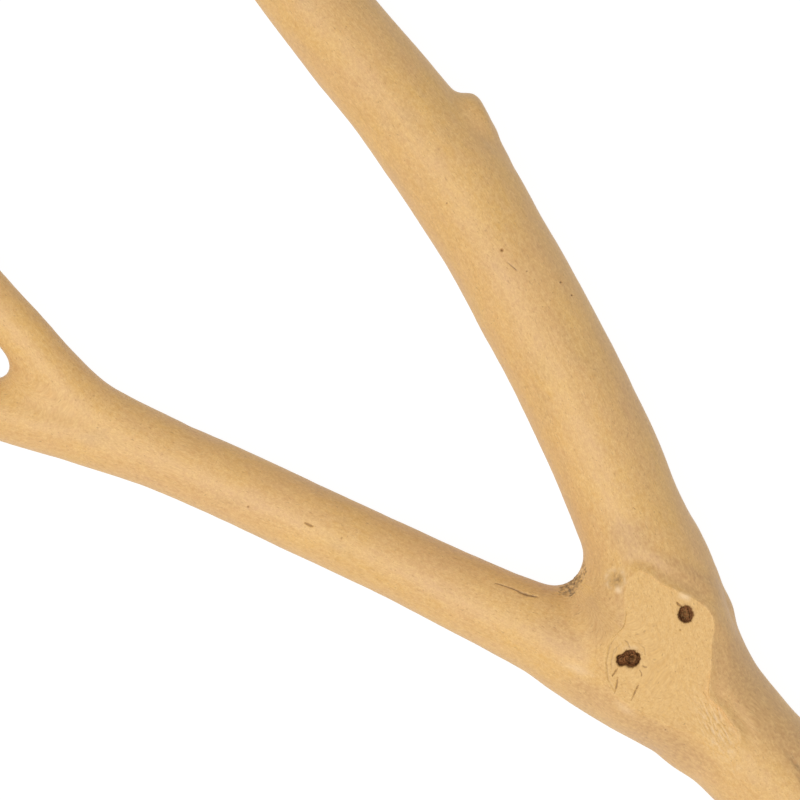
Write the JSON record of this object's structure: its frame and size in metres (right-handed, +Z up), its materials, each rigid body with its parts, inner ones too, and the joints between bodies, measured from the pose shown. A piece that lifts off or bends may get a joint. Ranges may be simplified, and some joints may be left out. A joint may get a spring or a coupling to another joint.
{
  "type": "peeled forked tree branch",
  "caption": "Peeled hardwood branch with a main fork, a second small fork, a stub and a flat sawn face with pith holes; it lies on its sawn ends.",
  "frame": {"origin": "under the middle of the whole branch, on the surface that it lies on", "axes": "+Z up, away from the surface, the way the flat sawn face looks; +X from the twigs' tips towards the stem's butt; +Y towards the upper limb's end"},
  "size_m": [0.386, 0.3814, 0.0415],
  "materials": {
    "peeled_wood": "satin, sanded smooth"
  },
  "bodies": {
    "root": {"stem": "peeled_wood", "upper_limb": "peeled_wood", "left_limb": "peeled_wood", "upper_twig": "peeled_wood", "lower_twig": "peeled_wood"}
  },
  "joints": []
}
